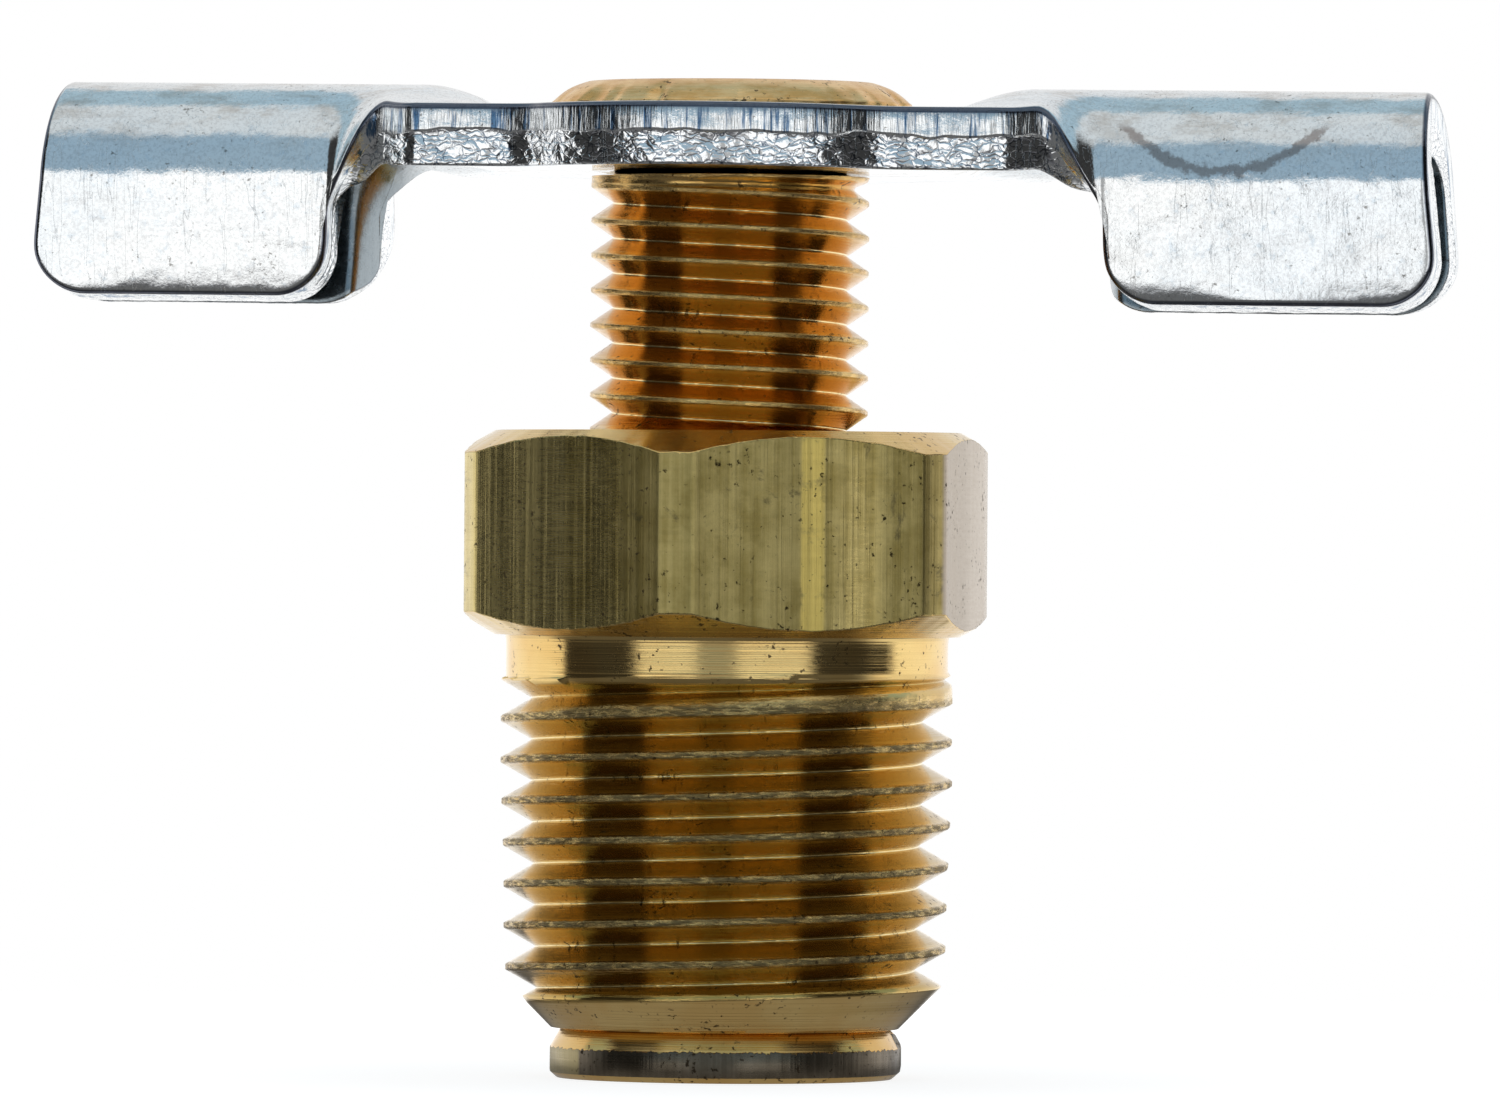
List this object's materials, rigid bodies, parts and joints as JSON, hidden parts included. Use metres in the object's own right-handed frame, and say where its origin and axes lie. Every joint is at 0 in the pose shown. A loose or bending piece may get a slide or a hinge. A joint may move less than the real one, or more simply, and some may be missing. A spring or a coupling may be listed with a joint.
{
  "type": "radiator drain petcock",
  "caption": "Brass drain valve with a tapered pipe thread and hexagon, a hollow left-hand screw stem with an outside conical seat, and a folded sheet steel wing handle.",
  "frame": {"origin": "centre of the flat face under the valve head, on the stem's axis", "axes": "+Z along the stem from the valve head up to the handle, +X along the handle's wings when the valve is closed, +Y completes the right-handed frame"},
  "size_m": [0.0328, 0.0124, 0.0226],
  "materials": {
    "body_brass": "drawn hexagon bar, olive tarnish on the flats, machined golden chamfers and thread",
    "stem_brass": "machined golden brass, dark bar skin round the valve head",
    "plated_steel": "bright zinc plate with scuffs and a rough sheared edge"
  },
  "bodies": {
    "valve_body": {"body": "body_brass"},
    "stem": {"stem": "stem_brass"},
    "handle": {"handle": "plated_steel"}
  },
  "joints": [
    {"name": "stem_travel", "type": "slide", "parent": "valve_body", "child": "stem", "axis": [0, 0, 1], "range_m": [-0.00536, 0]},
    {"name": "handle_turn", "type": "hinge", "parent": "stem", "child": "handle", "pos_m": [0, 0, 0.0212], "axis": [0, 0, 1], "range_deg": [0, 2430]}
  ],
  "couplings": [
    {"joint": "handle_turn", "follows": "stem_travel", "rad_per_m": -7915.8}
  ]
}
